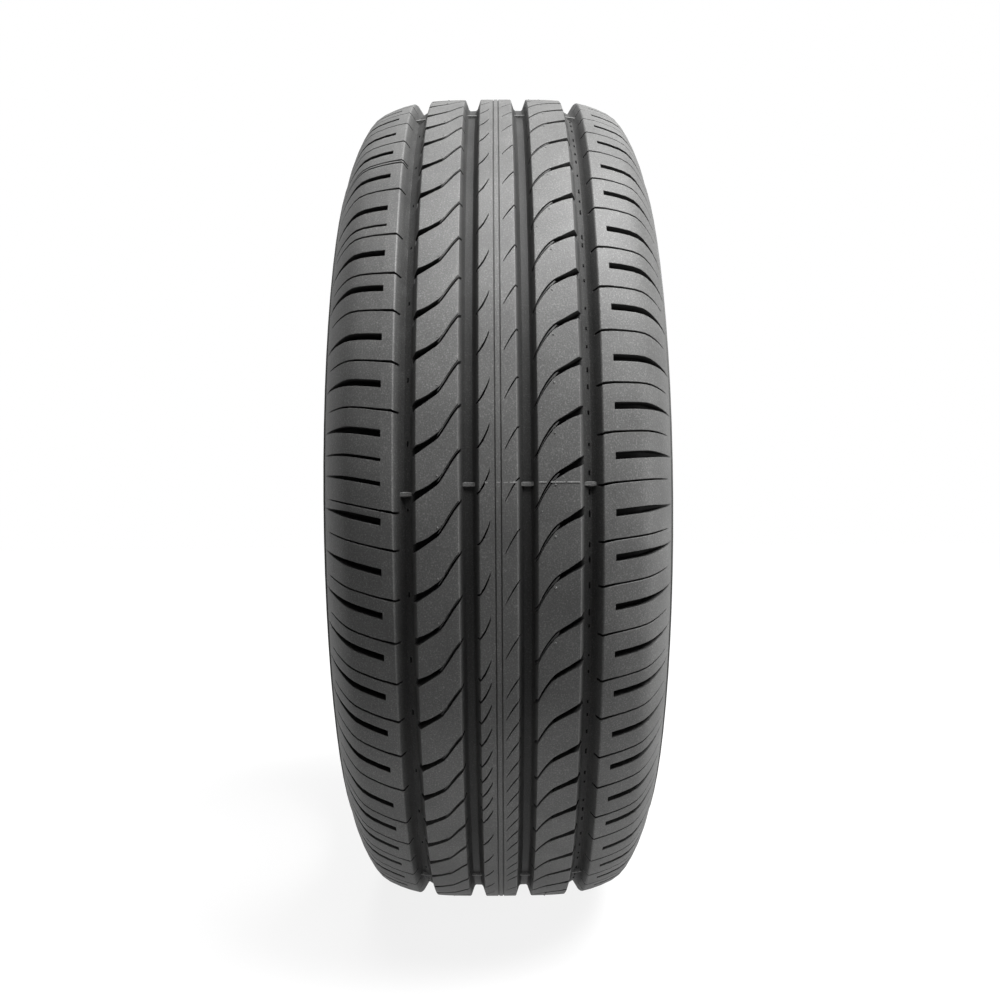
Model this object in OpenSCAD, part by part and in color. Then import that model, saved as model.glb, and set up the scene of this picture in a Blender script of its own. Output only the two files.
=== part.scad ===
// A radial car tyre without its wheel, moulded in one piece of rubber.
// It stands upright: +Y runs along the axle, +Z is up, and the origin is the centre of the tyre.
// Angles around the tyre start at +X and rise towards +Z. Widths are measured along Y from the middle.

/* [Overall size] */
// Outer diameter over the tread
outer_d = 632; // [610:1:660]
// Width over the sidewalls at their widest place
section_w = 215; // [210:1:230]
// Diameter of the rim where the bead heels sit
rim_d = 405.6; // [390:0.2:415]
// Width of the rim between its flanges
rim_w = 165; // [154:1:172]

/* [Crown and shoulders] */
// Radius of the crown across the middle
crown_r = 1500; // [700:50:3000]
// Half width of the middle stretch
crown_w = 33; // [26:1:38]
// Radius of the crown over the intermediate ribs
rib_r = 220; // [160:5:400]
// Half width where that stretch ends
rib_w = 52; // [48:1:57]
// Radius of the crown over the shoulder ribs
shoulder_rib_r = 92; // [80:1:120]
// Half width where the shoulder rounding starts
shoulder_w = 82; // [76:1:85]
// Radius of the shoulder rounding
shoulder_r = 23.5; // [16:0.5:28]
// Slope of the surface where the shoulder rounding ends
shoulder_slope = 54; // [46:1:60]
// Where the widest place lies on the way up from the rim guard to the shoulder
widest_place = 0.312; // [0.26:0.01:0.4]

/* [Grooves around the tread] */
// Depth of the four grooves
groove_d = 8; // [5:0.5:9]
// Half width of the centre rib
centre_rib_w = 11; // [8:0.5:14]
// Width of an inner groove at the surface
inner_groove_w = 11.5; // [8:0.5:13]
// Width of an intermediate rib
middle_rib_w = 24.5; // [20:0.5:27]
// Width of an outer groove at the surface
outer_groove_w = 12.8; // [10:0.5:15]
// How far a groove wall leans in over its depth
wall_run = 2.8; // [1.5:0.1:3.6]
// The same for the wall of the shoulder rib
shoulder_wall_run = 5; // [2.5:0.1:5.8]
// Distance between the two fine lines on the centre rib
line_gap = 3.4; // [2:0.1:6]
// Width of a fine line
line_w = 0.7; // [0.4:0.1:1.2]
// Depth of a fine line
line_d = 0.7; // [0.3:0.1:1.5]

/* [Slots in the ribs] */
// Depth of the slots
slot_d = 6.5; // [3:0.5:7.5]
// Opening of a rib slot where it meets the outer groove
slot_mouth = 4.6; // [3:0.1:6]
// Opening of the narrow end of a rib slot
slot_tail = 1.3; // [0.8:0.1:2]
// How far a rib slot reaches around the tyre
slot_reach = 28; // [20:0.5:32]
// Width of a shoulder slot
shoulder_slot_w = 3.8; // [2.5:0.1:5]
// Half width at the closed end of a shoulder slot
shoulder_slot_start = 67.5; // [64:0.5:72]
// Width of a shoulder slot where it runs out on the sidewall
shoulder_slot_tip = 1.2; // [0.8:0.1:2]

/* [Sipes] */
// Width of a sipe
sipe_w = 1; // [0.6:0.1:1.4]
// Depth of the sipes
sipe_d = 5; // [2:0.5:7]
// Half width where a sipe of the centre rib ends
centre_sipe_end = 4; // [3:0.1:6]
// How far a sipe of the centre rib reaches around the tyre
centre_sipe_reach = 10.2; // [6:0.2:14]
// Angle from a rib slot to the sipe across the centre rib on the right half
centre_sipe_lag = 1.4; // [0.5:0.1:2]
// Angle from a shoulder slot to the sipe below it
shoulder_sipe_lag = 2.8; // [2.4:0.1:3]

/* [Pitch around the tyre] */
// Short pitch in degrees
short_pitch = 4.75; // [4.6:0.05:5]
// Middle pitch in degrees
middle_pitch = 5.35; // [5.2:0.05:5.5]
// Long pitch in degrees
long_pitch = 6; // [5.7:0.05:6.2]

/* [Wear bars] */
// Sets of wear bars around the tyre
bar_sets = 6; // [4:1:8]
// Height of a wear bar over the groove floor
bar_h = 1.6; // [0.8:0.1:2.4]
// Length of a wear bar around the tyre
bar_l = 3; // [2:0.5:8]
// Angle of the first set
bar_start = 1.6; // [0:0.1:3]

/* [Walls and beads] */
// Thickness under the tread surface
tread_t = 15.5; // [13:0.5:20]
// Thickness of the sidewall at its widest place
side_t = 7; // [5:0.5:10]
// Thickness of the wall just above the bead
bead_t = 13; // [10:0.5:15]
// Width of the straight toe land that grips the rim
toe_w = 8; // [5:0.5:10]
// Width of the tapered seat
seat_w = 7.5; // [5:0.5:10]
// Taper of the seat
seat_slope = 5; // [3:0.5:8]
// Radius of the bead heel
heel_r = 5.5; // [4:0.5:7]
// Radius of the hollow that rests against the rim flange
flange_r = 9.5; // [7:0.5:12]
// Height of the straight face between the heel and that hollow
flange_face_h = 3.5; // [2:0.5:6]
// How far the rim guard stands out past the flange hollow
guard_w = 6; // [4:0.5:8]
// How far its nose lies outside the flange hollow
guard_h = 2.5; // [1:0.5:4]
// Chamfer under the nose of the rim guard
guard_chamfer = 2; // [1:0.5:3]
// Height of the moulded rings on the sidewall
ring_h = 0.8; // [0.4:0.1:1.5]

/* [Hidden] */

// Chain of arcs: a state is width, radius and slope, and each arc leaves the last one without a corner.
function arc_step(s, rad, slope) =
    [s[0] + rad * (sin(slope) - sin(s[2])), s[1] - rad * (cos(s[2]) - cos(slope)), slope];
function arc_to_width(s, rad, w) = arc_step(s, rad, asin(sin(s[2]) + (w - s[0]) / rad));
function arc_walk(s, rad, end_slope, n) =
    [for (i = [1:n]) arc_step(s, rad, s[2] + (end_slope - s[2]) * i / n)];
function arc_at(s, rad, w) = arc_to_width(s, rad, w)[1];
function inward(s, t) = [s[0] - t * sin(s[2]), s[1] - t * cos(s[2])];
function blend(a, b, t) = a * (1 - t) + b * t;

top = [0, outer_d / 2, 0];
crown_end = arc_to_width(top, crown_r, crown_w);
rib_end = arc_to_width(crown_end, rib_r, rib_w);
shoulder_start = arc_to_width(rib_end, shoulder_rib_r, shoulder_w);
shoulder_end = arc_step(shoulder_start, shoulder_r, shoulder_slope);
upper_side_r = (section_w / 2 - shoulder_end[0]) / (1 - sin(shoulder_slope));

// Radius of the tread surface at a half width.
function tread_r(w) =
    w < crown_w ? arc_at(top, crown_r, w)
    : w < rib_w ? arc_at(crown_end, rib_r, w)
    : arc_at(rib_end, shoulder_rib_r, w);

// Rib and groove edges, as half widths.
inner_groove_end = centre_rib_w + inner_groove_w;
middle_rib_end = inner_groove_end + middle_rib_w;
outer_groove_end = middle_rib_end + outer_groove_w;

// Bead and rim guard.
rim_r = rim_d / 2;
heel_face = rim_w / 2;
seat_start = heel_face - heel_r;
land_start = seat_start - seat_w;
land_end = land_start - toe_w;
land_r = rim_r - seat_w * tan(seat_slope);
toe_chamfer = 0.8;
flange_top = [heel_face + flange_r, rim_r + heel_r + flange_face_h + flange_r];
guard_nose = flange_top + [guard_w, guard_h];

// Sidewall above and below its widest place: arcs that stretch with the section's height.
// Each is walked by a share, from the shoulder down to the widest place and from there to the rim guard.
widest_r = blend(guard_nose[1], shoulder_end[1], widest_place);
lower_turn = 44.4;
function upper_side(share) =
    let (
        s = arc_step(shoulder_end, upper_side_r, blend(shoulder_slope, 90, share)),
        down = (shoulder_end[1] - s[1]) / (upper_side_r * cos(shoulder_slope))
    )
    [s[0], blend(shoulder_end[1], widest_r, down), s[2]];
function lower_side(share) =
    let (
        turn = lower_turn * share,
        in = (1 - cos(turn)) / (1 - cos(lower_turn)),
        down = sin(turn) / sin(lower_turn)
    )
    [blend(section_w / 2, guard_nose[0], in), blend(widest_r, guard_nose[1], down), 90 + turn];

// Shares at which the moulded rings start and end.
upper_ring = [0.67, 0.72];
lower_ring = [0.32, 0.38];

// Outline of one half of the section, from the middle of the tread outwards and round to the toe.
function on_tread(w) = [w, tread_r(w)];
function fine_line() =
    let (lean = line_w * 0.2, near = (line_gap - line_w) / 2, far = (line_gap + line_w) / 2)
    [on_tread(near), on_tread(near) + [lean, -line_d], on_tread(far) + [-lean, -line_d], on_tread(far)];
function groove_floor(w0, w1, run0, run1) =
    [[w0 + run0, tread_r(w0) - groove_d], [w1 - run1, tread_r(w1) - groove_d]];
function tread_outline() = concat(
    fine_line(),
    [on_tread(centre_rib_w)],
    groove_floor(centre_rib_w, inner_groove_end, wall_run, wall_run),
    [on_tread(inner_groove_end), on_tread(middle_rib_end)],
    groove_floor(middle_rib_end, outer_groove_end, wall_run, shoulder_wall_run),
    [on_tread(outer_groove_end), on_tread((outer_groove_end + shoulder_w) / 2), on_tread(shoulder_w)]
);
function ring(a, b) =
    let (rise = ring_h * [sin(a[2]), cos(a[2]), 0])
    [a, a + rise, b + rise, b];
function side_outline() = concat(
    [shoulder_start],
    arc_walk(shoulder_start, shoulder_r, shoulder_slope, 2),
    [upper_side(0.3), upper_side(0.6)],
    ring(upper_side(upper_ring[0]), upper_side(upper_ring[1])),
    [upper_side(1)],
    ring(lower_side(lower_ring[0]), lower_side(lower_ring[1])),
    [lower_side(0.72)]
);
function bead_outline() = concat(
    [guard_nose, guard_nose - [guard_chamfer, guard_chamfer]],
    [for (a = [0:30:90]) flange_top + flange_r * [-sin(a), cos(a) - 1]],
    [for (a = [0:30:90]) [heel_face, rim_r + heel_r] + heel_r * [cos(a) - 1, -sin(a)]],
    [[land_start, land_r], [land_end, land_r], [land_end - toe_chamfer, land_r + toe_chamfer]]
);

// The lining follows the outside at the wall's thickness, and a smooth bend takes it down to the toe.
// Its heights are shares of the way from the toe to the widest place, and from there to the tread.
toe_top = [land_end - 1, land_r + 6];
tread_lining = inward(shoulder_start, tread_t);
function below_widest(share, height, thickness) =
    [inward(lower_side(share), thickness)[0], blend(toe_top[1], widest_r, height)];
function above_widest(share, height, thickness) =
    [inward(upper_side(share), thickness)[0], blend(widest_r, tread_lining[1], height)];
above_bead = below_widest(1, 0.64, bead_t);
function toe_bend() =
    let (a = toe_top, b = [land_end + 3, blend(toe_top[1], above_bead[1], 0.56)], c = above_bead)
    [for (t = [0:0.25:0.75]) (1 - t) * (1 - t) * a + 2 * t * (1 - t) * b + t * t * c];
function lining() = concat(
    toe_bend(),
    [above_bead, below_widest(0.5, 0.77, blend(side_t, bead_t, 0.5)), [section_w / 2 - side_t, widest_r]],
    [above_widest(0.5, 0.54, blend(side_t, tread_t, 0.25))],
    [above_widest(0, 0.97, blend(side_t, tread_t, 0.75))],
    [tread_lining, inward(rib_end, tread_t), inward(crown_end, tread_t)]
);

// The section turned so that the radius comes first, and its copy on the other side of the middle.
function flat(list) = [for (p = list) [p[1], p[0]]];
function mirrored(list) = [for (i = [len(list) - 1:-1:0]) [list[i][0], -list[i][1]]];
outside = flat(concat(tread_outline(), side_outline(), bead_outline()));
inside = flat(lining());

module carcass() {
    rotate([90, 0, 0])
        rotate_extrude($fn = 144)
            polygon(concat(mirrored(outside), outside, inside, mirrored(inside)));
}

// Slots repeat at three pitch lengths in a mixed order over the front, and evenly over the rest.
pitches = 69;
rib_left_start = 57.1;
rib_left_order = "SSMMLMMSMSSMMSSMLSSSSS";
rib_right_start = 54.4;
rib_right_order = "LLLLMMMMMMMLSMMSSSMS";
shoulder_left_start = 58.1;
shoulder_left_order = "LMMLLLMMMSSMMSSSSMSMS";
shoulder_right_start = 54.6;
shoulder_right_order = "MLMLMMLMMLSMMSMSMSLM";
function pitch_len(c) = c == "S" ? short_pitch : c == "M" ? middle_pitch : long_pitch;
function sum_to(order, n) = n == 0 ? 0 : pitch_len(order[n - 1]) + sum_to(order, n - 1);
function pitch_angles(start, order) =
    let (n = len(order), front = sum_to(order, n), rest = (360 - front) / (pitches - n))
    [for (i = [0:pitches - 1]) i < n ? start - sum_to(order, i) : start - front - rest * (i - n)];
rib_left = pitch_angles(rib_left_start, rib_left_order);
rib_right = pitch_angles(rib_right_start, rib_right_order);
shoulder_left = pitch_angles(shoulder_left_start, shoulder_left_order);
shoulder_right = pitch_angles(shoulder_right_start, shoulder_right_order);

// Puts a cutter drawn at +X on the right half at an angle, or its copy turned half round on the left.
module at_right(angle) {
    rotate([0, -angle, 0])
        children();
}
module at_left(angle) {
    rotate([0, -angle, 0])
        rotate([180, 0, 0])
            children();
}

// How far cutters stand clear of the tyre, and how far they reach into a groove that they open into.
clear = 4;
open_end = 1;

// Prism that stands on the tread: its outline is width and distance around the tyre.
module plan_prism(outline, floor_r) {
    translate([floor_r, 0, 0])
        rotate([90, 0, 90])
            linear_extrude(outer_d / 2 + clear - floor_r)
                polygon(outline);
}

// Slot across an intermediate rib: a wide mouth at the outer groove runs into a narrow, steeper tail.
// Its upper edge is listed from the mouth inwards, as shares of the rib's width and of the slot's reach.
slot_edge = [[1.05, -0.025], [0.47, 0.285], [0.23, 0.58], [-0.05, 1]];
module rib_slot() {
    // From the upper edge to the lower one at each of those points.
    gap = [
        [0, -slot_mouth],
        [slot_tail, -slot_tail * 1.6],
        [slot_tail * 0.85, -slot_tail * 0.5],
        [slot_tail, 0]
    ];
    upper = [for (p = slot_edge) [inner_groove_end + p[0] * middle_rib_w, -p[1] * slot_reach]];
    lower = [for (i = [3:-1:0]) upper[i] + gap[i]];
    plan_prism(concat(upper, lower), outer_d / 2 - slot_d);
}

// Short sipe that leaves the inner groove and ends inside the centre rib.
module centre_sipe() {
    rise = 1.2;
    lean = 0.7;
    mouth = [centre_rib_w + open_end, rise];
    tip = [centre_sipe_end, rise - centre_sipe_reach];
    across = sipe_w * [1, -lean];
    plan_prism([mouth, tip, tip + across, mouth + across], outer_d / 2 - sipe_d);
}

// Plate for a shoulder cut. Its lower edge follows the surface, gets shallower over the shoulder
// and runs out on the sidewall.
cut_end = upper_side(0.58);
shoulder_depth = 0.6;
module shoulder_plate(w0, depth, thickness) {
    runout = [cut_end[1] - 2, cut_end[0] + 1];
    far = [outer_d / 2 + clear, section_w / 2 + clear];
    bottom = flat([[w0, tread_r(w0) - depth], inward(shoulder_end, depth * shoulder_depth)]);
    translate([0, 0, -thickness / 2])
        linear_extrude(thickness)
            polygon(concat(bottom, [runout, [runout[0], far[1]], far, [far[0], w0]]));
}

// Wide shoulder slot with a square closed end, narrowing over the shoulder.
module shoulder_slot() {
    wide = shoulder_slot_w / 2;
    narrow = shoulder_slot_tip / 2;
    start = shoulder_slot_start - clear;
    bend = shoulder_end[0] - 3;
    end = section_w / 2 + 6;
    intersection() {
        shoulder_plate(shoulder_slot_start, slot_d, shoulder_slot_w + clear);
        plan_prism(
            [[start, -wide], [bend, -wide], [end, -narrow], [end, narrow], [bend, wide], [start, wide]],
            cut_end[1] - 20
        );
    }
}

// Thin shoulder sipe, open into the outer groove.
module shoulder_sipe() {
    shoulder_plate(outer_groove_end - open_end, sipe_d, sipe_w);
}

module slots() {
    for (a = rib_right) at_right(a) rib_slot();
    for (a = rib_left) at_left(a) rib_slot();
    for (a = shoulder_right) at_right(a) shoulder_slot();
    for (a = shoulder_left) at_left(a) shoulder_slot();
}
module sipes() {
    for (a = rib_right) at_right(a - centre_sipe_lag) centre_sipe();
    for (a = rib_left) at_left(a) centre_sipe();
    for (a = shoulder_right) at_right(a - shoulder_sipe_lag) shoulder_sipe();
    for (a = shoulder_left) at_left(a - shoulder_sipe_lag) shoulder_sipe();
}

// Wear bars across the groove floors.
module wear_bars() {
    spans = [[centre_rib_w, inner_groove_end], [middle_rib_end, outer_groove_end]];
    root = 1;
    for (k = [0:bar_sets - 1], side = [-1, 1], s = spans) {
        w = s[1] - s[0] - wall_run;
        rotate([0, -bar_start - k * 360 / bar_sets, 0])
            translate([tread_r(s[0]) - groove_d - root, (side * (s[0] + s[1]) - w) / 2, -bar_l / 2])
                cube([bar_h + root, w, bar_l]);
    }
}

module tyre() {
    color([0.16, 0.16, 0.165]) {
        difference() {
            carcass();
            slots();
            sipes();
        }
        wear_bars();
    }
}

tyre();
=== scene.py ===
import math

import bmesh
import bpy
import numpy as np
from mathutils import Matrix, Vector


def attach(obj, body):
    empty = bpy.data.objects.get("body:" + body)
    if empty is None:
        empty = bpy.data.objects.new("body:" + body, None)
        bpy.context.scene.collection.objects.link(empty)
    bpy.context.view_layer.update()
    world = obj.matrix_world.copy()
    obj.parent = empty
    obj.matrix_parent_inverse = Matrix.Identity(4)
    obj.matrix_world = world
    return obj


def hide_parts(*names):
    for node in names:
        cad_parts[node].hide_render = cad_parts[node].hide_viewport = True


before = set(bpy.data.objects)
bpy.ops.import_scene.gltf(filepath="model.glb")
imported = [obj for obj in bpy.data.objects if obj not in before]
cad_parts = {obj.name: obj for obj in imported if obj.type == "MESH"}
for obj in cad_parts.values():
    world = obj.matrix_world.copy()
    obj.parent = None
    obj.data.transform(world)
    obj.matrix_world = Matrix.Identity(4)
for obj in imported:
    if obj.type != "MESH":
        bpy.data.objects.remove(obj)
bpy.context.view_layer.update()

# Sizes of the tyre in mm. They are those of the part's source, except that the shoulder slots are wider,
# the shoulder sipes a little thinner, and the left shoulder has its own order of pitches.
# Widths are distances from the middle of the tread, depths go down from the tread surface.
OUTER_R = 316.0
SECTION_HALF = 107.5
CROWN_R, CROWN_W = 1500.0, 33.0
RIB_R, RIB_W = 220.0, 52.0
SHOULDER_RIB_R, SHOULDER_W = 92.0, 82.0
SHOULDER_R, SHOULDER_SLOPE = 23.5, 54.0
GROOVE_D = 8.0
CENTRE_RIB_W = 11.0
MIDDLE_IN, MIDDLE_OUT = 22.5, 47.0
SHOULDER_IN = 59.8
LINE_GAP, LINE_W, LINE_D = 3.4, 0.7, 0.7
SLOT_D, SIPE_D = 6.5, 5.0
SHOULDER_SLOT_W, SHOULDER_SLOT_START, SHOULDER_SLOT_TIP = 4.2, 67.5, 1.2
SIPE_W = 0.9
TREAD_T, SIDE_T, BEAD_T = 15.5, 7.0, 13.0
RIM_R, HEEL_FACE, HEEL_R, SEAT_W, TOE_W, SEAT_SLOPE = 202.8, 82.5, 5.5, 7.5, 8.0, 5.0
FLANGE_R, FLANGE_FACE_H, GUARD_W, GUARD_H, GUARD_CHAMFER = 9.5, 3.5, 6.0, 2.5, 2.0
RING_H = 0.8
BAR_SETS, BAR_H, BAR_L, BAR_START = 6, 1.6, 3.0, 1.6

# Lengths of the pitches in degrees, and for each rib the angle of its first slot above the middle of the
# front with the pitches below it.
PITCHES = 69
PITCH_DEGREES = {"T": 4.0, "S": 4.75, "M": 5.35, "L": 6.0, "J": 7.0}
RIB_LEFT = (57.1, "SSMMLMMSMSSMMSSMLSSSSS")
RIB_RIGHT = (54.4, "LLLLMMMMMMMLSMMSSSMS")
SHOULDER_LEFT = (58.2, "LMMLJSLMMMTMSSSSMLSSS")
SHOULDER_RIGHT = (54.6, "MLMLMMLMMLSMMSMSMSLM")

# Values that differ between the halves are held under 1 for the right half and -1 for the left. The left
# half is built as the right one is and then turned half round. Its angles are those on the finished tyre,
# and its distances in mm around the tyre are those before the turn, which swaps up and down.

# From the start of a pitch, in degrees: down to its centre sipe, up to the mouth of its slot, and down to
# its shoulder sipe.
CENTRE_SIPE_LAG = {1: 1.4, -1: 0.0}
MOUTH_LEAD = {1: 0.6, -1: -0.55}
SHOULDER_SIPE_LAG = 2.8

# Distances around the tyre are turned into angles at this radius.
AROUND_R = 312.0
MM = 0.001


def sin_d(a):
    return math.sin(math.radians(a))


def cos_d(a):
    return math.cos(math.radians(a))


# Outside of the section: tangent arcs. A state is (width, radius, slope in degrees) at a point of it.
def arc_step(state, rad, slope):
    """State at the end of an arc that goes on to a slope."""
    w, r, s = state
    return (w + rad * (sin_d(slope) - sin_d(s)), r - rad * (cos_d(s) - cos_d(slope)), slope)


def arc_to_width(state, rad, w):
    """State at the end of an arc that goes on to a width."""
    return arc_step(state, rad, math.degrees(math.asin(sin_d(state[2]) + (w - state[0]) / rad)))


TOP = (0.0, OUTER_R, 0.0)
CROWN_END = arc_to_width(TOP, CROWN_R, CROWN_W)
RIB_END = arc_to_width(CROWN_END, RIB_R, RIB_W)
SHOULDER_START = arc_to_width(RIB_END, SHOULDER_RIB_R, SHOULDER_W)
SHOULDER_END = arc_step(SHOULDER_START, SHOULDER_R, SHOULDER_SLOPE)
UPPER_SIDE_R = (SECTION_HALF - SHOULDER_END[0]) / (1 - sin_d(SHOULDER_SLOPE))
WIDEST = arc_step(SHOULDER_END, UPPER_SIDE_R, 90.0)


def outside(w):
    """Surface state at a half width."""
    if w < CROWN_W:
        return arc_to_width(TOP, CROWN_R, w)
    if w < RIB_W:
        return arc_to_width(CROWN_END, RIB_R, w)
    if w < SHOULDER_W:
        return arc_to_width(RIB_END, SHOULDER_RIB_R, w)
    if w < SHOULDER_END[0]:
        return arc_to_width(SHOULDER_START, SHOULDER_R, w)
    return arc_to_width(SHOULDER_END, UPPER_SIDE_R, w)


def inward(state, depth):
    """Point (width, radius) that deep under a state, at right angles to the surface."""
    return (state[0] - depth * sin_d(state[2]), state[1] - depth * cos_d(state[2]))


def pitch_angles(start_and_order):
    """Starts of the pitches in degrees, going down: read off the front, even over the rest."""
    start, order = start_and_order
    steps = [PITCH_DEGREES[c] for c in order]
    rest = (360.0 - sum(steps)) / (PITCHES - len(steps))
    steps += [rest] * (PITCHES - len(steps))
    return start - np.concatenate([[0.0], np.cumsum(steps[:-1])])


def smooth(a, b, x):
    """0 below a, 1 above b and an even rise between them."""
    t = np.clip((np.asarray(x, float) - a) / (b - a), 0.0, 1.0)
    return t * t * (3 - 2 * t)


class Mesh:
    """Collects vertices (around, width, radius) and faces of closed surfaces.

    land is a colour factor: 1 on the ribs, painted shade down to 0 deep in a slot, painted highlight above 1.
    """

    def __init__(self):
        self.angle, self.width, self.radius, self.land = [], [], [], []
        self.quads, self.tris = [], []
        self.count = 0

    def add(self, angle, width, radius, land):
        """Adds vertices, angles in radians, and returns their numbers in the shape of the angles."""
        angle = np.asarray(angle, float)
        for values, given in (
            (self.angle, angle),
            (self.width, width),
            (self.radius, radius),
            (self.land, land),
        ):
            values.append(np.broadcast_to(given, angle.shape).ravel())
        ids = np.arange(self.count, self.count + angle.size).reshape(angle.shape)
        self.count += angle.size
        return ids

    def grid(self, ids, closed=True):
        """Quads between neighbouring rows and columns, the rows closed into a ring."""
        nxt = np.roll(ids, -1, axis=0) if closed else ids[1:]
        cur = ids if closed else ids[:-1]
        q = np.stack([cur[:, :-1], nxt[:, :-1], nxt[:, 1:], cur[:, 1:]], axis=-1)
        self.quads.append(q.reshape(-1, 4))

    def loft(self, rings, land):
        """Small closed solid through rings of points (angle, width, radius), capped at both ends."""
        ids = np.array([self.add(*np.array(ring).T, land) for ring in rings])
        self.grid(np.concatenate([ids, ids[:, :1]], axis=1), closed=False)
        for end in (ids[0], ids[-1]):
            self.tris += [(end[0], end[i], end[i + 1]) for i in range(1, len(end) - 1)]

    def loop(self, ids):
        """A ring of vertices as (angles from 0 to a full turn, numbers), sorted upwards."""
        angle = np.concatenate(self.angle)[ids] % (2 * math.pi)
        order = np.argsort(angle, kind="stable")
        return angle[order], ids[order]

    def stitch(self, ring_a, ring_b):
        """Joins two rings with one band of triangles."""
        (a, ia), (b, ib) = self.loop(ring_a), self.loop(ring_b)
        na, nb = len(a), len(b)
        i = j = 0
        while i < na or j < nb:
            here_a, here_b = ia[i % na], ib[j % nb]
            next_a = a[(i + 1) % na] + 2 * math.pi * ((i + 1) // na)
            next_b = b[(j + 1) % nb] + 2 * math.pi * ((j + 1) // nb)
            if j >= nb or (i < na and next_a <= next_b):
                self.tris.append((here_a, ia[(i + 1) % na], here_b))
                i += 1
            else:
                self.tris.append((here_a, ib[(j + 1) % nb], here_b))
                j += 1


# Distance between the rows of a rib where it has no cut, and the least turn from one row to the next, in
# radians.
PLAIN_STEP = 14.0
LEAST_TURN = 1e-7
# Cuts go down towards the axle up to this width. In the run after it they turn, until they stand at right
# angles to the surface.
LEAN_START, LEAN_RUN = 60.0, 10.0
# Painted shade on the floors of the inner and the outer grooves, which this width parts.
GROOVE_PAINTED_SHADE = (0.38, 0.5)
INNER_GROOVE_LIMIT = 30.0
# Depths over which the painted shade falls in a groove and in a cut, and the painted highlight on a groove's
# upper edge.
GROOVE_FADE, CUT_FADE = 0.6, 0.4
EDGE_PAINTED_HIGHLIGHT, EDGE_HIGHLIGHT_D, EDGE_HIGHLIGHT_SPREAD = 0.4, 0.3, 0.25


def surface_under(columns):
    """Surface states of the columns. A column on a groove's wall hangs from the edge of its rib."""
    land = [w for w, depth in columns if depth == 0]

    def rib_place(w, depth):
        return min(land, key=lambda x: abs(x - w)) if depth else w

    return np.array([outside(rib_place(w, depth)) for w, depth in columns])


def painted_rib_shade(w, base, depth):
    """Painted shade of the columns, darker with their depths in the grooves and in the cuts, with a painted
    highlight on the grooves' upper edges.
    """
    floor = np.where(w < INNER_GROOVE_LIMIT, *GROOVE_PAINTED_SHADE)
    groove = floor + (1 - floor) * np.exp(-base / GROOVE_FADE)
    edge = EDGE_PAINTED_HIGHLIGHT * np.exp(-(((base - EDGE_HIGHLIGHT_D) / EDGE_HIGHLIGHT_SPREAD) ** 2))
    return (groove + edge) * np.exp(-(depth - base) / CUT_FADE)


def strip(mesh, columns, cuts, turn):
    """One rib around the tyre, from its cuts in going-down order with plain rows between them.

    columns: (width, depth). A cut is (degrees, offsets, depths), the last two in mm around the tyre and mm
    below the surface, with a row for each line of the cut and a value for each column.
    """
    w, base = np.array(columns).T
    states = surface_under(columns)
    cuts = sorted(cuts, key=lambda cut: -cut[0])
    rows_angle, rows_depth = [], []
    for k, (degrees, offsets, depths) in enumerate(cuts):
        here = math.radians(degrees) + offsets / AROUND_R
        after = cuts[(k + 1) % len(cuts)]
        full_turn = 2 * math.pi * ((k + 1) // len(cuts))
        gap = here[-1] - (math.radians(after[0]) - full_turn + after[1][0] / AROUND_R)
        plain = max(1, round(gap.mean() * AROUND_R / PLAIN_STEP))
        share = (np.arange(1, plain + 1) / (plain + 1))[:, None]
        rows_angle += [here, here[-1] - gap * share]
        rows_depth += [np.maximum(base, depths), np.repeat(base[None, :], plain, axis=0)]
    angle = np.concatenate(rows_angle)
    depth = np.concatenate(rows_depth)
    folds = int((np.diff(angle, axis=0) > -LEAST_TURN).sum())
    if folds:
        print("strip rows that fold over:", folds)
    lean = np.clip((w - LEAN_START) / LEAN_RUN, 0.0, 1.0)
    slope = np.radians(states[:, 2])
    radius = states[:, 1] - depth * np.cos(slope * lean)
    width = w - depth * np.sin(slope * lean)
    ids = mesh.add(turn * angle, turn * width, radius, painted_rib_shade(w, base, depth))
    mesh.grid(ids)
    return ids


# Rows of a cut's small rounded edge, from the rib into the cut: distance outside the edge line, and depth,
# which is the cut's own in the last row. A sipe's edges have this share of the distances.
EDGE = ((0.32, 0.0), (0.0, 0.2), (-0.14, None))
SIPE_EDGE = 0.7


def cut_rows(upper, lower, depth, edge=1.0):
    """Rows and depths of a plain cut between an upper and a lower edge line."""
    rows = [(upper + shift * edge, edge_d) for shift, edge_d in EDGE]
    rows += [(lower - shift * edge, edge_d) for shift, edge_d in reversed(EDGE)]
    depths = [depth if edge_d is None else np.minimum(depth, edge_d) for line, edge_d in rows]
    return np.array([line for line, edge_d in rows]), np.array(depths)


# Shoulder ribs: a wide slot with a closed end, and a thin sipe that starts at the groove.
SHOULDER_COLUMNS = [
    (53.9, 8.0),
    (55.5, 6.9),
    (56.7, 5.0),
    (59.3, 0.8),
    (60.2, 0.12),
    (60.8, 0.0),
    (67.0, 0.0),
    (67.4, 0.0),
    (67.75, 0.0),
    (74.5, 0.0),
    (82.0, 0.0),
    (87.0, 0.0),
    (90.8, 0.0),
    (94.5, 0.0),
    (98.0, 0.0),
    (101.5, 0.0),
    (104.5, 0.0),
]
# How far the cuts rise on their way outwards, in mm per mm of width, and the width over which they do.
CUT_RISE = {1: 0.1, -1: -0.2}
CUT_RISE_RUN = 40
# Widths between which a slot gets its depth at the closed end, loses it at the tip, and narrows.
SLOT_OPENS, SLOT_ENDS, SLOT_NARROWS = (67.15, 67.6), (90.0, 104.3), (86.0, 104.0)
# Opening of a sipe at the groove as a share of its width, and what it loses twice between these widths.
SIPE_AT_GROOVE = 1.7
SIPE_LOSSES = ((0.5, 61.0, 72.0), (0.4, 90.0, 100.0))
SIPE_ENDS = (92.0, 101.3)
# How far a sipe bends down beside the groove, and the widths between which it does.
SIPE_HOOK, SIPE_HOOK_SPAN = 1.5, (59.5, 63.0)
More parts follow.
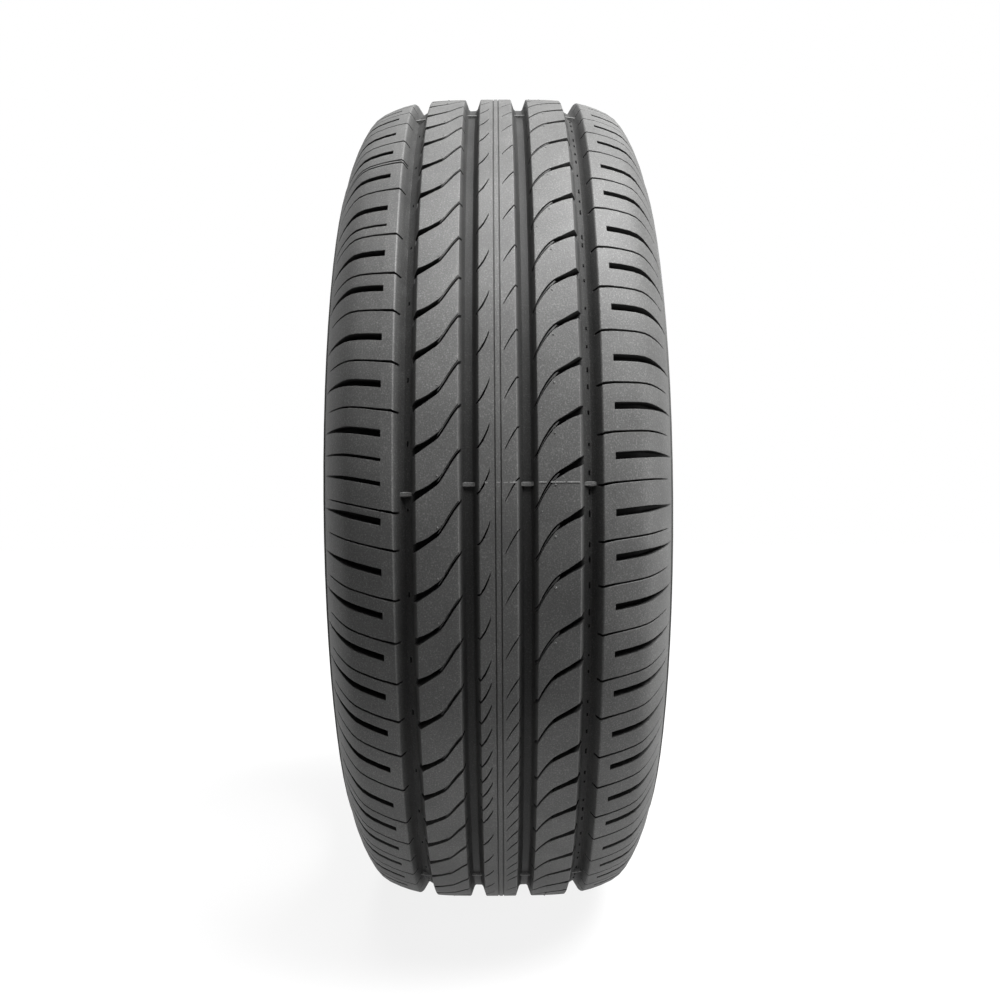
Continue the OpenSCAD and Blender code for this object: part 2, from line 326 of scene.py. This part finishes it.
# On the left shoulder, counted from 0 at the top: pitches with a narrower slot, pitches whose sipe starts
# where the slots do, each with its width as a share of a slot's, and the angles of added sipes in degrees.
SLIM_SLOTS, SLIM_SHARE = (10,), 0.6
CLOSED_SIPES, CLOSED_SHARE = (4, 9), 0.42
MORE_SIPES = (44.6, 31.2)


def shoulder_strip(mesh, start_and_order, turn, slim=(), closed=(), more=()):
    w = np.array([c[0] for c in SHOULDER_COLUMNS])
    rise = CUT_RISE[turn] * np.clip(w - SHOULDER_SLOT_START, 0, CUT_RISE_RUN)

    def slot(share):
        opening = SHOULDER_SLOT_W * share
        half = opening / 2 - (opening - SHOULDER_SLOT_TIP) / 2 * smooth(*SLOT_NARROWS, w)
        depth = SLOT_D * smooth(*SLOT_OPENS, w) * (1 - smooth(*SLOT_ENDS, w))
        return cut_rows(rise + half, rise - half, depth)

    def sipe():
        share = SIPE_AT_GROOVE
        for loss, first, last in SIPE_LOSSES:
            share = share - loss * smooth(first, last, w)
        half = SIPE_W / 2 * share
        line = rise - SIPE_HOOK * turn * (1 - smooth(*SIPE_HOOK_SPAN, w))
        return cut_rows(line + half, line - half, SIPE_D * (1 - smooth(*SIPE_ENDS, w)), SIPE_EDGE)

    cuts = [(turn * a, *sipe()) for a in more]
    for p, angle in enumerate(pitch_angles(start_and_order)):
        cuts.append((turn * angle, *slot(SLIM_SHARE if p in slim else 1.0)))
        below = slot(CLOSED_SHARE) if p in closed else sipe()
        cuts.append((turn * (angle - SHOULDER_SIPE_LAG), *below))
    return strip(mesh, SHOULDER_COLUMNS, cuts, turn)


# Intermediate ribs: a wide mouth at the outer groove, then a narrow slit with a light ridge and a fine line
# below it.
MIDDLE_COLUMNS = [
    (18.9, 8.0),
    (20.1, 6.9),
    (20.75, 5.0),
    (22.35, 0.5),
    (22.65, 0.12),
    (23.05, 0.0),
    (24.6, 0.0),
    (26.6, 0.0),
    (28.6, 0.0),
    (30.2, 0.0),
    (31.6, 0.0),
    (32.6, 0.0),
    (33.4, 0.0),
    (34.2, 0.0),
    (35.2, 0.0),
    (37.0, 0.0),
    (40.0, 0.0),
    (43.0, 0.0),
    (46.45, 0.0),
    (46.85, 0.12),
    (47.2, 0.5),
    (49.3, 6.6),
    (50.6, 8.0),
]
# Upper edge of a slot as (width, mm around the tyre), counted from its mouth's upper corner.
UPPER_EDGE = {
    1: ((18.9, -31.0), (22.0, -26.0), (25.0, -19.5), (27.0, -16.0), (29.0, -13.0), (31.0, -10.4),
        (33.0, -8.4), (35.0, -7.0), (40.0, -4.0), (46.0, 0.0), (50.6, 3.0)),
    -1: ((18.9, -30.0), (22.3, -25.7), (24.0, -23.5), (26.0, -20.7), (28.0, -17.3), (30.0, -14.1),
         (32.0, -11.0), (33.4, -9.1), (35.0, -7.6), (37.0, -6.2), (40.0, -4.1), (44.0, -1.3),
         (46.0, 0.0), (50.6, 3.4)),
}
# The same way: the slot's whole opening, and how far below its upper edge the ridge ends.
OPENING = ((22.0, 3.1), (30.2, 3.5), (32.6, 3.4), (35.0, 3.6), (40.0, 3.6), (43.0, 4.1), (46.0, 5.1))
RIDGE_END = ((22.0, 2.2), (30.2, 2.5), (31.6, 2.6), (32.6, 3.0), (33.4, 2.5), (34.2, 2.1), (35.2, 1.8),
             (37.0, 1.7))
# The slit is wider around the tyre where it runs steeply, up to this many times.
SLIT_W, STEEPEST = {1: 0.85, -1: 1.1}, 1.9
RIDGE_D = 0.25
FINE_LINE_D = {1: 2.2, -1: 0.5}
# Widths between which the slit gets the slot's depth, the ridge goes, the fine line ends, the mouth begins.
SLIT_DEEPENS, RIDGE_RUNS_OUT = (33.0, 37.0), (34.2, 37.0)
LINE_RUNS_OUT, MOUTH_BEGINS = (30.2, 31.6), (32.2, 33.3)
# Run of the bevel outside a slot's edge and of each wall in it, and the least depths at its edges.
BEVEL, WALL = 0.3, 0.15
UPPER_EDGE_D, LOWER_EDGE_D = 0.15, 0.1
# Pitches, counted from 0 at the top, in which the slit is wide and has no ridge.
WIDE_SLITS = {1: range(13, 25), -1: ()}


def middle_rows(turn, ridge):
    """Rows and depths of one slot across an intermediate rib, with or without its ridge and fine line."""
    w = np.array([c[0] for c in MIDDLE_COLUMNS])
    upper = np.interp(w, *zip(*UPPER_EDGE[turn]))
    steep = np.hypot(1.0, np.gradient(upper, w))
    lower = upper - np.interp(w, *zip(*OPENING))
    ridge_end = upper - np.interp(w, *zip(*RIDGE_END))
    slit_end = upper - SLIT_W[turn] * np.clip(steep, 1.0, STEEPEST)
    slit_d = SIPE_D + (SLOT_D - SIPE_D) * smooth(*SLIT_DEEPENS, w)
    ridge_d, line_d = slit_d, 0.0
    if ridge:
        ridge_d = RIDGE_D + (SLOT_D - RIDGE_D) * smooth(*RIDGE_RUNS_OUT, w)
        line_d = FINE_LINE_D[turn] * (1 - smooth(*LINE_RUNS_OUT, w))
    floor_d = np.maximum(SLOT_D * smooth(*MOUTH_BEGINS, w) + line_d, LOWER_EDGE_D)
    rows = [
        (upper + BEVEL, 0.0),
        (upper, UPPER_EDGE_D),
        (upper - WALL, slit_d),
        (slit_end, slit_d),
        (slit_end - WALL, ridge_d),
        (ridge_end, ridge_d),
        (ridge_end - WALL, floor_d),
        (lower + WALL, floor_d),
        (lower, LOWER_EDGE_D),
        (lower - BEVEL, 0.0),
    ]
    depths = [np.broadcast_to(depth, w.shape) for line, depth in rows]
    return np.array([line for line, depth in rows]), np.array(depths)


def middle_strip(mesh, start_and_order, turn):
    with_ridge, wide = middle_rows(turn, True), middle_rows(turn, False)
    cuts = []
    for p, angle in enumerate(pitch_angles(start_and_order)):
        cuts.append((turn * (angle + MOUTH_LEAD[turn]), *(wide if p in WIDE_SLITS[turn] else with_ridge)))
    return strip(mesh, MIDDLE_COLUMNS, cuts, turn)


# Centre rib: two halves that meet between the twin fine lines, whose walls lean this much to each side.
LINE_IN, LINE_OUT = LINE_GAP / 2 - LINE_W / 2, LINE_GAP / 2 + LINE_W / 2
LINE_LEAN = 0.1
CENTRE_COLUMNS = [
    (LINE_IN - LINE_LEAN, 0.0),
    (LINE_IN + LINE_LEAN, LINE_D),
    (LINE_OUT - LINE_LEAN, LINE_D),
    (LINE_OUT + LINE_LEAN, 0.0),
    (2.9, 0.0),
    (3.8, 0.0),
    (4.6, 0.0),
    (6.0, 0.0),
    (8.0, 0.0),
    (10.4, 0.0),
    (10.85, 0.12),
    (11.2, 0.5),
    (12.4, 4.0),
    (13.4, 6.9),
    (14.6, 8.0),
]
# A centre sipe starts at the groove and goes down as it leaves it, over a run of widths. Its fall is given
# in mm around the tyre per mm and per square mm of width.
CENTRE_SIPE_START, CENTRE_SIPE_RUN, CENTRE_SIPE_D = 11.8, 8.2, 4.0
CENTRE_SIPE_FALL = {1: (1.3, 0.05), -1: (0.8, 0.15)}
CENTRE_SIPE_W = {1: 0.7, -1: 1.0}
# Widths between which its depth ends, its opening at the tip as a share, and the widths where that grows.
CENTRE_SIPE_ENDS = {1: (3.8, 4.6), -1: (4.6, 6.0)}
CENTRE_SIPE_TIP, CENTRE_SIPE_GROWTH, CENTRE_SIPE_GROWS = 0.55, 0.45, (5.0, 8.0)
# Pitches, counted from 0 at the top, that have one more centre sipe halfway to the next.
MORE_CENTRE_SIPES = {1: range(13, 20), -1: range(15, 19)}


def centre_strip(mesh, start_and_order, turn):
    w = np.array([c[0] for c in CENTRE_COLUMNS])
    linear, square = CENTRE_SIPE_FALL[turn]
    x = np.clip(CENTRE_SIPE_START - w, 0, CENTRE_SIPE_RUN)
    line = -(linear * x + square * x * x)
    steep = np.hypot(1.0, linear + 2 * square * x)
    share = CENTRE_SIPE_TIP + CENTRE_SIPE_GROWTH * smooth(*CENTRE_SIPE_GROWS, w)
    half = CENTRE_SIPE_W[turn] / 2 * steep * share
    depth = CENTRE_SIPE_D * smooth(*CENTRE_SIPE_ENDS[turn], w)
    rows = cut_rows(line + half, line - half, depth, SIPE_EDGE)
    angles = pitch_angles(start_and_order)
    angles = [*angles, *((angles[p] + angles[p + 1]) / 2 for p in MORE_CENTRE_SIPES[turn])]
    cuts = [(turn * (angle - CENTRE_SIPE_LAG[turn]), *rows) for angle in angles]
    return strip(mesh, CENTRE_COLUMNS, cuts, turn)


# Small raised things: wear bars and dashes on the groove floors, the line left by a mould joint, and vent
# marks. The foot of a bar is sunk into the surface, and its top has this share of the foot's length.
BAR_SINK, BAR_TOP = 0.5, 0.65
# Wear bars: distance from the ribs' edges, step across, and a painted highlight that makes them lighter than
# the rubber. The left outer ones stand lower by these degrees.
BAR_GAP, BAR_STEP, BAR_PAINTED_HIGHLIGHT = 1.4, 20.0, 1.7
LEFT_OUTER_BAR_LAG = 1.0


def bar(mesh, degrees, w0, w1, half, drop, height, step, land):
    """Low bar across the tread at an angle, from one width to another, drop mm below the surface."""
    a = math.radians(degrees)
    rings = []
    for w in np.linspace(w0, w1, max(2, round(abs(w1 - w0) / step) + 1)):
        r = outside(abs(w))[1] - drop
        top = min(height, OUTER_R - r)
        section = ((half, -BAR_SINK), (BAR_TOP * half, top), (-BAR_TOP * half, top), (-half, -BAR_SINK))
        rings.append([(a + around / AROUND_R, w, r + up) for around, up in section])
    mesh.loft(rings, land)


def wear_bars(mesh):
    for k in range(BAR_SETS):
        degrees = BAR_START + 360.0 / BAR_SETS * k
        for side in (-1, 1):
            for w0, w1 in ((CENTRE_RIB_W, MIDDLE_IN), (MIDDLE_OUT, SHOULDER_IN)):
                lag = LEFT_OUTER_BAR_LAG if w0 == MIDDLE_OUT and side < 0 else 0.0
                ends = (side * (w0 + BAR_GAP), side * (w1 - BAR_GAP))
                bar(mesh, degrees - lag, *ends, BAR_L / 2, GROOVE_D, BAR_H, BAR_STEP, BAR_PAINTED_HIGHLIGHT)


# The mould joint's angle in degrees, and the widths between which it shows.
JOINT_ANGLE = 1.75
JOINT_SPANS = ((-7.5, -5.8), (-1.0, 1.0), (3.0, 5.5), (6.5, 10.4), (23.0, 27.5), (29.8, 38.0), (39.0, 46.4))
# Half width, height and step of the joint's bar, and its painted highlight, which makes the line lighter than
# the rubber.
JOINT_HALF, JOINT_H, JOINT_STEP, JOINT_PAINTED_HIGHLIGHT = 0.5, 0.25, 2.5, 2.8


def mould_joint(mesh):
    for w0, w1 in JOINT_SPANS:
        bar(mesh, JOINT_ANGLE, w0, w1, JOINT_HALF, 0.0, JOINT_H, JOINT_STEP, JOINT_PAINTED_HIGHLIGHT)


# Vent marks: for each rib, degrees from the start of a pitch, width and radius.
VENT_ROWS = (
    (RIB_RIGHT, ((-2.15, 32.4, 0.8), (-4.9, 24.6, 0.5))),
    (RIB_LEFT, ((1.9, -34.6, 0.6),)),
)
# Height, sink and top share of a vent mark, and its painted highlight, which makes it lighter than the
# rubber.
VENT_H, VENT_SINK, VENT_TOP, VENT_PAINTED_HIGHLIGHT = 0.35, 0.2, 0.6, 1.8


def vent_mark(mesh, degrees, w, size):
    """Small round raised mark left by a mould's vent."""
    a = math.radians(degrees)
    r = outside(abs(w))[1]
    rings = []
    for share, up in ((1.0, -VENT_SINK), (VENT_TOP, min(VENT_H, OUTER_R - r))):
        spots = [(size * share * cos_d(t), size * share * sin_d(t)) for t in range(0, 360, 60)]
        rings.append([(a + around / AROUND_R, w + across, r + up) for around, across in spots])
    mesh.loft(rings, VENT_PAINTED_HIGHLIGHT)


def vent_marks(mesh):
    for start_and_order, marks in VENT_ROWS:
        for angle in pitch_angles(start_and_order):
            for lead, w, size in marks:
                vent_mark(mesh, angle + lead, w, size)


# Dashes: widths with the degrees from one to the next, how far up and down they reach in degrees, by how much
# each is shifted at most, and their sizes.
DASH_ROWS = ((52.3, 2.6), (-51.8, 7.8))
DASH_REACH, DASH_SHIFT, DASH_HALVES = 64.0, 0.9, (0.7, 2.3)
DASH_HALF_W, DASH_H, DASH_STEP, DASH_SHADE = 0.45, 0.1, 1.0, -0.1


def groove_dashes(mesh):
    """Short dark marks along the outer groove floors: low bars coloured darker than the slots."""
    rng = np.random.default_rng(7)
    for w, step in DASH_ROWS:
        for degrees in np.arange(-DASH_REACH, DASH_REACH, step):
            around, half = rng.uniform(-DASH_SHIFT, DASH_SHIFT), rng.uniform(*DASH_HALVES)
            ends = (w - DASH_HALF_W, w + DASH_HALF_W)
            bar(mesh, degrees + around, *ends, half, GROOVE_D, DASH_H, DASH_STEP, DASH_SHADE)


# Points of the sidewall down to the rim guard as (slope in degrees, height above the wall). Two rings are
# raised on it.
SIDE_POINTS = (
    (76.3, 0.0), (77.8, 0.0), (78.1, RING_H), (79.9, RING_H), (80.2, 0.0), (83.0, 0.0), (86.5, 0.0),
    (90.0, 0.0), (96.0, 0.0), (101.0, 0.0), (103.8, 0.0), (104.3, RING_H), (106.7, RING_H), (107.2, 0.0),
    (112.0, 0.0), (118.0, 0.0),
)
# The last point above the guard's nose is this many degrees before it, and one rounds off the nose itself.
GUARD_APPROACH = 7.0
NOSE_ROUNDING = (0.7, 1.6)
# Points (across, up) that round off both ends of the toe land, and those that lead the curve inside the bead,
# all counted from that end of the land.
LAND_START_ROUNDING = ((0.5, 0.03), (-0.8, 0.0))
LAND_END_ROUNDING = ((0.3, 0.0), (-0.6, 0.5), (-1.0, 1.6))
BEAD_INSIDE = ((-1.0, 6.0), (3.0, 20.0))
# Degrees from one point of a round corner to the next, and steps around the casing.
CORNER_STEP = 15
CASING_STEPS = 72
CASING_SHADE = 0.8


def casing_outline():
    """Sidewall, bead and lining as (width, radius), from the shoulder round to the middle of the lining."""
    flange_top = (HEEL_FACE + FLANGE_R, RIM_R + HEEL_R + FLANGE_FACE_H + FLANGE_R)
    nose = (flange_top[0] + GUARD_W, flange_top[1] + GUARD_H)
    drop, reach = WIDEST[1] - nose[1], SECTION_HALF - nose[0]
    lower_r = (reach * reach + drop * drop) / (2 * reach)
    guard_slope = 90 + math.degrees(math.asin(drop / lower_r))
    land_start = HEEL_FACE - HEEL_R - SEAT_W
    land_end = land_start - TOE_W
    land_r = RIM_R - SEAT_W * math.tan(math.radians(SEAT_SLOPE))

    def side(slope, height):
        start = (SHOULDER_END, UPPER_SIDE_R) if slope <= 90 else (WIDEST, lower_r)
        return inward(arc_step(*start, slope), -height)

    points = [side(slope, height) for slope, height in SIDE_POINTS]
    points += [side(guard_slope - GUARD_APPROACH, 0.0), nose]
    for across, down in (NOSE_ROUNDING, (GUARD_CHAMFER, GUARD_CHAMFER)):
        points.append((nose[0] - across, nose[1] - down))
    corner = range(0, 91, CORNER_STEP)
    for a in corner:
        points.append((flange_top[0] - FLANGE_R * sin_d(a), flange_top[1] + FLANGE_R * (cos_d(a) - 1)))
    for a in corner:
        points.append((HEEL_FACE + HEEL_R * (cos_d(a) - 1), RIM_R + HEEL_R * (1 - sin_d(a))))

    points += [(land_start + across, land_r + up) for across, up in LAND_START_ROUNDING]
    points += [(land_end + across, land_r + up) for across, up in LAND_END_ROUNDING]

    # The inside of the bead is one curve from the toe to the lining above it.
    leads = [(land_end + across, land_r + up) for across, up in BEAD_INSIDE]
    leads.append(inward(arc_step(WIDEST, lower_r, guard_slope), BEAD_T))
    for t in (0.0, 0.25, 0.5, 0.75, 1.0):
        a, b, c = (1 - t) * (1 - t), 2 * t * (1 - t), t * t
        points.append(tuple(a * leads[0][k] + b * leads[1][k] + c * leads[2][k] for k in (0, 1)))

    # The lining follows the outside, at the thickness of the wall there.
    lining = (
        (arc_step(WIDEST, lower_r, (90 + guard_slope) / 2), (SIDE_T + BEAD_T) / 2),
        (WIDEST, SIDE_T),
        (arc_step(SHOULDER_END, UPPER_SIDE_R, (SHOULDER_SLOPE + 90) / 2), SIDE_T * 0.75 + TREAD_T * 0.25),
        (SHOULDER_END, SIDE_T * 0.25 + TREAD_T * 0.75),
        (SHOULDER_START, TREAD_T),
        (RIB_END, TREAD_T),
        (CROWN_END, TREAD_T),
        (TOP, TREAD_T),
    )
    return points + [inward(state, thickness) for state, thickness in lining]


def casing(mesh):
    half = casing_outline()
    width, radius = np.array(half + [(-w, r) for w, r in half[-2::-1]]).T
    around = np.linspace(0, 2 * math.pi, CASING_STEPS, endpoint=False)
    ids = mesh.add(np.repeat(around[:, None], len(width), axis=1), width, radius, CASING_SHADE)
    mesh.grid(ids)
    return ids


def build_tyre():
    mesh = Mesh()
    centre_r = centre_strip(mesh, RIB_RIGHT, 1)
    centre_l = centre_strip(mesh, RIB_LEFT, -1)
    middle_r = middle_strip(mesh, RIB_RIGHT, 1)
    middle_l = middle_strip(mesh, RIB_LEFT, -1)
    shoulder_r = shoulder_strip(mesh, SHOULDER_RIGHT, 1)
    shoulder_l = shoulder_strip(mesh, SHOULDER_LEFT, -1, SLIM_SLOTS, CLOSED_SIPES, MORE_SIPES)
    side = casing(mesh)
    mesh.stitch(centre_l[:, 0], centre_r[:, 0])
    for centre, middle, shoulder in ((centre_r, middle_r, shoulder_r), (centre_l, middle_l, shoulder_l)):
        mesh.stitch(centre[:, -1], middle[:, 0])
        mesh.stitch(middle[:, -1], shoulder[:, 0])
    mesh.stitch(shoulder_r[:, -1], side[:, 0])
    mesh.stitch(shoulder_l[:, -1], side[:, -1])
    wear_bars(mesh)
    mould_joint(mesh)
    vent_marks(mesh)
    groove_dashes(mesh)
    return mesh


# Edges that turn by more degrees than this are shaded as sharp.
SHARP_DEGREES = 38


def to_object(mesh, name):
    angle, width = np.concatenate(mesh.angle), np.concatenate(mesh.width)
    radius, land = np.concatenate(mesh.radius), np.concatenate(mesh.land)
    co = np.stack([radius * np.cos(angle), width, radius * np.sin(angle)], axis=1) * MM
    faces = [tuple(map(int, face)) for face in [*np.concatenate(mesh.quads), *mesh.tris]]
    data = bpy.data.meshes.new(name)
    data.from_pydata(co.tolist(), [], faces)
    # The painted light and shade goes to the material as the attribute "land".
    attribute = data.attributes.new("land", "FLOAT", "POINT")
    attribute.data.foreach_set("value", land.astype(np.float32))
    bm = bmesh.new()
    bm.from_mesh(data)
    bmesh.ops.recalc_face_normals(bm, faces=bm.faces)
    open_edges = sum(1 for e in bm.edges if len(e.link_faces) != 2)
    print("open edges:", open_edges, "triangles:", sum(len(f.verts) - 2 for f in bm.faces))
    for f in bm.faces:
        f.smooth = True
    for e in bm.edges:
        if len(e.link_faces) == 2 and e.calc_face_angle(0.0) > math.radians(SHARP_DEGREES):
            e.smooth = False
    bm.to_mesh(data)
    bm.free()
    obj = bpy.data.objects.new(name, data)
    bpy.context.scene.collection.objects.link(obj)
    weighted = obj.modifiers.new("even_shading", "WEIGHTED_NORMAL")
    weighted.keep_sharp = True
    return obj


class Tree:
    """Nodes of a material or world."""

    def __init__(self, owner):
        owner.use_nodes = True
        self.nodes, self.links = owner.node_tree.nodes, owner.node_tree.links

    def fill(self, node, inputs):
        """Sets inputs by name or number: a socket is linked, anything else is the input's value."""
        for name, value in inputs.items():
            if isinstance(value, bpy.types.NodeSocket):
                self.links.new(value, node.inputs[name])
            else:
                node.inputs[name].default_value = value

    def add(self, kind, output, inputs=None, **settings):
        """Adds a node with its own settings and its inputs, and returns one of its outputs."""
        node = self.nodes.new("ShaderNode" + kind)
        for name, value in settings.items():
            setattr(node, name, value)
        self.fill(node, inputs or {})
        return node.outputs[output]

    def noise(self, place, scale, detail):
        return self.add("TexNoise", "Fac", {"Vector": place, "Scale": scale, "Detail": detail})

    def ramp(self, source, stops):
        """Colour ramp through stops of (position, colour), a number being a grey."""
        colour = self.add("ValToRGB", "Color", {"Fac": source})
        elements = colour.node.color_ramp.elements
        for position, _ in stops[1:-1]:
            elements.new(position)
        for element, (position, shade) in zip(elements, stops):
            element.position = position
            element.color = (*(shade if isinstance(shade, tuple) else (shade,) * 3), 1)
        return colour

    def seen_ray(self):
        """1 for camera, glossy and transmission rays, 0 for the rays that light the tyre."""
        seen = self.add("LightPath", "Is Camera Ray")
        rays = seen.node.outputs
        for name in ("Is Glossy Ray", "Is Transmission Ray"):
            seen = self.add("Math", "Value", {0: seen, 1: rays[name]}, operation="MAXIMUM")
        return seen

    def finish(self, kind, unseen, seen):
        """Gives the output node one shader for the light and another one for what is seen."""
        mixed = self.add("MixShader", "Shader", {"Fac": self.seen_ray(), 1: unseen, 2: seen})
        self.fill(self.nodes.new("ShaderNodeOutput" + kind), {"Surface": mixed})


# Noise scales per metre with their detail: fine grain, clouds of tone and light flecks.
GRAIN, CLOUD, FLECK = (900.0, 4.0), (28.0, 5.0), (1150.0, 2.0)
TONE_STOPS = ((0.3, (0.046, 0.046, 0.0455)), (0.75, (0.064, 0.064, 0.063)))
# What the flecks multiply the tone by.
FLECK_STOPS = ((0.38, 0.84), (0.56, 1.0), (0.7, 1.6))
# Colour of the painted shadow deep in the slots, to which the painted shade takes the rubber.
SLOT_PAINTED_SHADOW = (0.006, 0.006, 0.006, 1)
# Specular level deep in a slot and on the ribs, which follows the painted shade so that it also dims the
# reflections in grooves and cuts, and roughness where the grain is low and high.
SHINE, ROUGHNESS = (0.02, 0.16), (0.44, 0.6)
GRAIN_STRENGTH, GRAIN_HEIGHT = 0.35, 0.0003


def rubber():
    mat = bpy.data.materials.new("tyre_rubber")
    tree = Tree(mat)
    place = tree.add("TexCoord", "Object")
    grain, cloud, fleck = (tree.noise(place, *values) for values in (GRAIN, CLOUD, FLECK))
    land = tree.add("Attribute", "Fac", attribute_name="land")
    tone = {"Factor": 1.0, "A": tree.ramp(cloud, TONE_STOPS), "B": tree.ramp(fleck, FLECK_STOPS)}
    specked = tree.add("Mix", "Result", tone, data_type="RGBA", blend_type="MULTIPLY")
    # land mixes from the painted slot shadow to the rubber's tone, and past the tone where a highlight is
    # painted.
    shaded = {"Factor": land, "A": SLOT_PAINTED_SHADOW, "B": specked}
    colour = tree.add("Mix", "Result", shaded, data_type="RGBA", clamp_factor=False)
    shine, rough = (
        tree.add("MapRange", "Result", {"Value": source, "To Min": low, "To Max": high})
        for source, (low, high) in ((land, SHINE), (grain, ROUGHNESS))
    )
    bump = {"Strength": GRAIN_STRENGTH, "Distance": GRAIN_HEIGHT, "Height": grain}
    look = {
        "Base Color": colour,
        "Specular IOR Level": shine,
        "Roughness": rough,
        "Normal": tree.add("Bump", "Normal", bump),
    }
    tree.fill(tree.nodes["Principled BSDF"], look)
    return mat


# Camera found from the outline and the grooves in the photograph: mm, radians, and the lens in mm.
CAMERA_DISTANCE, CAMERA_SIDE, CAMERA_HEIGHT = 963.2, 0.25, 2.7
CAMERA_YAW, CAMERA_PITCH, CAMERA_ROLL = 0.0011, -0.0046, 0.0071
CAMERA_LENS, CAMERA_SENSOR = 41.27, 36.0


def make_camera():
    data = bpy.data.cameras.new("camera")
    data.lens = CAMERA_LENS
    data.sensor_width = CAMERA_SENSOR
    data.clip_start, data.clip_end = 0.01, 50.0
    obj = bpy.data.objects.new("camera", data)
    bpy.context.scene.collection.objects.link(obj)
    cy, sy = math.cos(CAMERA_YAW), math.sin(CAMERA_YAW)
    cp, sp = math.cos(CAMERA_PITCH), math.sin(CAMERA_PITCH)
    cr, sr = math.cos(CAMERA_ROLL), math.sin(CAMERA_ROLL)
    right = Vector((sy, cy, 0.0))
    up = Vector((cy * sp, -sy * sp, cp))
    right, up = right * cr - up * sr, right * sr + up * cr
    back = right.cross(up)
    turn = Matrix((right, up, back)).transposed()
    place = Vector((CAMERA_DISTANCE, CAMERA_SIDE, CAMERA_HEIGHT)) * MM
    obj.matrix_world = Matrix.Translation(place) @ turn.to_4x4()
    bpy.context.scene.camera = obj


# Square lamps: place, target and side in metres, and power in watts.
LAMPS = {
    "key": ((0.85, 0.85, 1.9), (0, 0, 0.05), 1.2, 128),
    "front_left": ((0.8, 0.0, 2.0), (0, 0, 0.05), 1.2, 62),
    "far_right": ((0.3, 1.4, 1.7), (0, 0, 0.05), 1.2, 48),
    "top": ((0.0, 0.1, 2.2), (0, 0, 0.1), 1.0, 6),
    "low_right": ((0.5, 1.8, -0.1), (0, 0.05, 0), 0.9, 28),
}


def area_light(name, place, target, size, power):
    data = bpy.data.lights.new(name, "AREA")
    data.energy = power
    data.size = size
    obj = bpy.data.objects.new(name, data)
    bpy.context.scene.collection.objects.link(obj)
    obj.location = place
    obj.rotation_euler = (Vector(target) - Vector(place)).to_track_quat("-Z", "Y").to_euler()


# Floor, by the distance from the tyre's centre in metres: how white it looks to the camera, and how much
# light it throws back, which is a ring around the foot of the tyre. It shows this share of the light on it.
FLOOR_HALF = 6.0
FLOOR_FADE = {"From Min": 0.5, "From Max": 1.6, "To Min": 0.86, "To Max": 1.0}
FLOOR_BOUNCE = ((0.38, 0.04), (0.43, 0.72), (0.54, 0.72), (0.61, 0.02))
FLOOR_SHOWN_LIGHT = (0.1, 0.1, 0.1, 1)


def white_ground():
    """Pale floor at the foot of the tyre: white to the camera, with the tyre's soft shadow kept in it."""
    data = bpy.data.meshes.new("floor")
    z, s = -OUTER_R * MM, FLOOR_HALF
    data.from_pydata([(-s, -s, z), (s, -s, z), (s, s, z), (-s, s, z)], [], [(0, 1, 2, 3)])
    obj = bpy.data.objects.new("floor", data)
    bpy.context.scene.collection.objects.link(obj)
    mat = bpy.data.materials.new("floor_white")
    tree = Tree(mat)
    tree.nodes.clear()
    place = tree.add("TexCoord", "Object")
    reach = tree.add("VectorMath", "Value", {0: place}, operation="LENGTH")
    fade = tree.add("MapRange", "Result", {"Value": reach, **FLOOR_FADE})
    bounce = tree.add("BsdfDiffuse", "BSDF", {"Color": tree.ramp(reach, FLOOR_BOUNCE)})
    glow = tree.add("Emission", "Emission", {"Strength": fade})
    faint = tree.add("BsdfDiffuse", "BSDF", {"Color": FLOOR_SHOWN_LIGHT})
    tree.finish("Material", bounce, tree.add("AddShader", "Shader", {0: glow, 1: faint}))
    data.materials.append(mat)


WHITE = (1, 1, 1, 1)
WORLD_LIGHT = 0.003


def make_world():
    """White to the camera, and nearly no light on the tyre."""
    world = bpy.data.worlds.new("studio")
    bpy.context.scene.world = world
    tree = Tree(world)
    tree.nodes.clear()
    dim, white = (
        tree.add("Background", "Background", {"Color": WHITE, "Strength": strength})
        for strength in (WORLD_LIGHT, 1.0)
    )
    tree.finish("World", dim, white)


make_camera()
tyre = to_object(build_tyre(), "tyre_moulding")
tyre.data.materials.append(rubber())
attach(tyre, "root")
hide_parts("tyre")

white_ground()
make_world()
for lamp, values in LAMPS.items():
    area_light(lamp, *values)
bpy.context.scene.view_settings.view_transform = "Standard"
